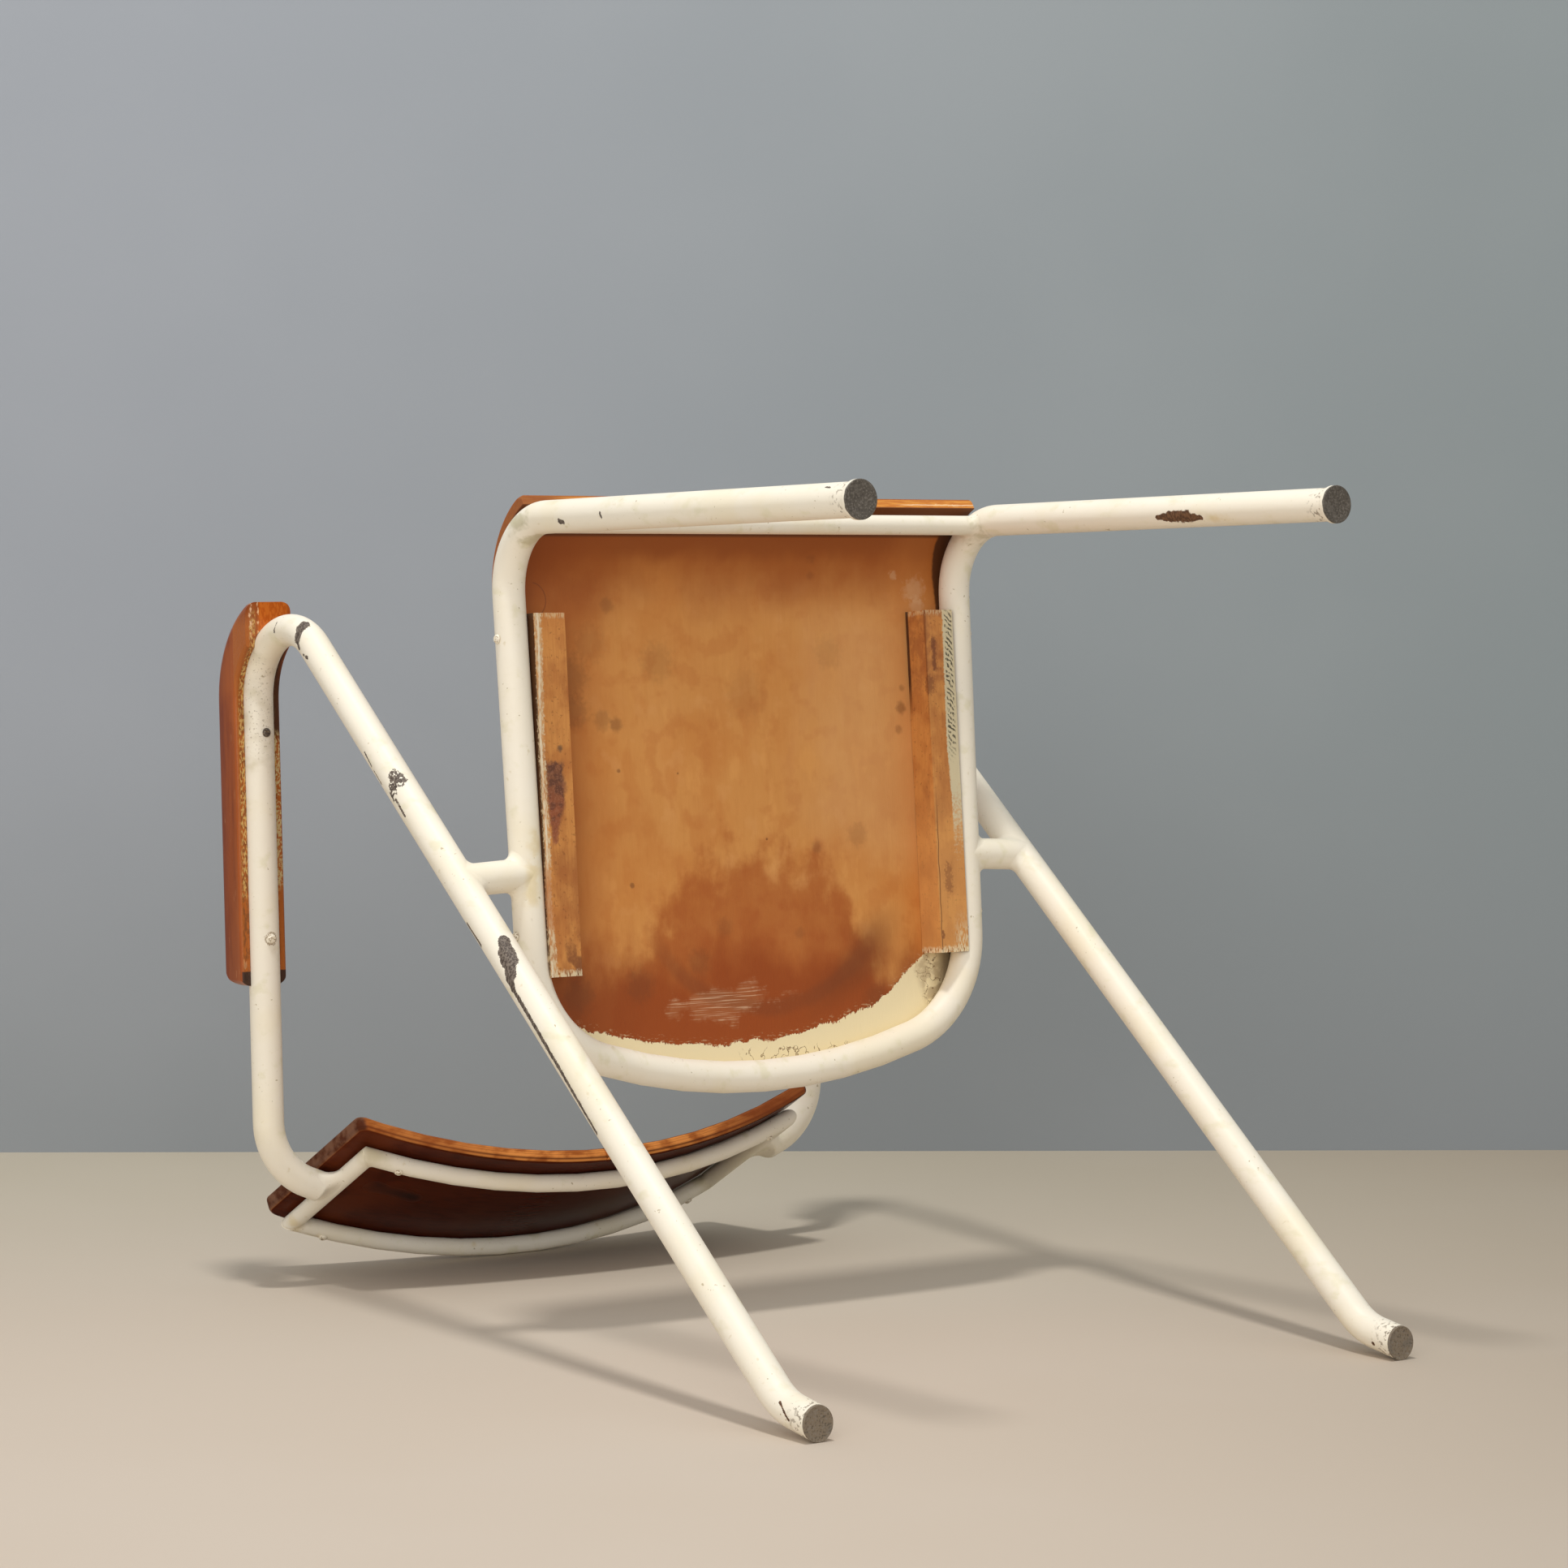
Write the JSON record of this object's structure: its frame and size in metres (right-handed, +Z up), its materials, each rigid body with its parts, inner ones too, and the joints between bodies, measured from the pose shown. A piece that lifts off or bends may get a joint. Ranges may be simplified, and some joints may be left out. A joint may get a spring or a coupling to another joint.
{
  "type": "armchair",
  "caption": "Armchair of bent steel tube with a plywood seat that curls down at the front, a curved plywood back and wooden armrests.",
  "frame": {"origin": "on the floor under the middle of the chair's bounding box", "axes": "+Z up, the sitter faces -Y, +X is the sitter's left"},
  "size_m": [0.5616, 0.632, 0.7891],
  "materials": {
    "cream_paint": "worn satin enamel with chips",
    "seat_plywood": "varnished, mottled orange brown",
    "back_plywood": "glossy dark red brown varnish",
    "batten_wood": "worn, with traces of cream paint",
    "armrest_wood": "varnished red brown",
    "glide": "dark, scuffed",
    "screw": "dull, tarnished"
  },
  "bodies": {
    "root": {"seat_frame_tube": "cream_paint", "front_rail": "cream_paint", "arm_leg_tube_right": "cream_paint", "arm_leg_tube_left": "cream_paint", "spacer_right": "cream_paint", "spacer_left": "cream_paint", "back_bottom_rail": "cream_paint", "back_top_rail": "cream_paint", "back_upright_right": "cream_paint", "back_upright_left": "cream_paint", "seat_plate": "seat_plywood", "back_plate": "back_plywood", "seat_batten_right": "batten_wood", "armrest_right": "armrest_wood", "foot_glide_front_right": "glide", "foot_glide_rear_right": "glide", "armrest_screw_right_front": "screw", "seat_screw_right_front": "screw", "armrest_screw_right_rear": "screw", "seat_screw_right_rear": "screw", "back_screw_right_lower": "screw", "back_screw_right_upper": "screw", "seat_batten_left": "batten_wood", "armrest_left": "armrest_wood", "foot_glide_front_left": "glide", "foot_glide_rear_left": "glide", "armrest_screw_left_front": "screw", "seat_screw_left_front": "screw", "armrest_screw_left_rear": "screw", "seat_screw_left_rear": "screw", "back_screw_left_lower": "screw", "back_screw_left_upper": "screw"}
  },
  "joints": []
}
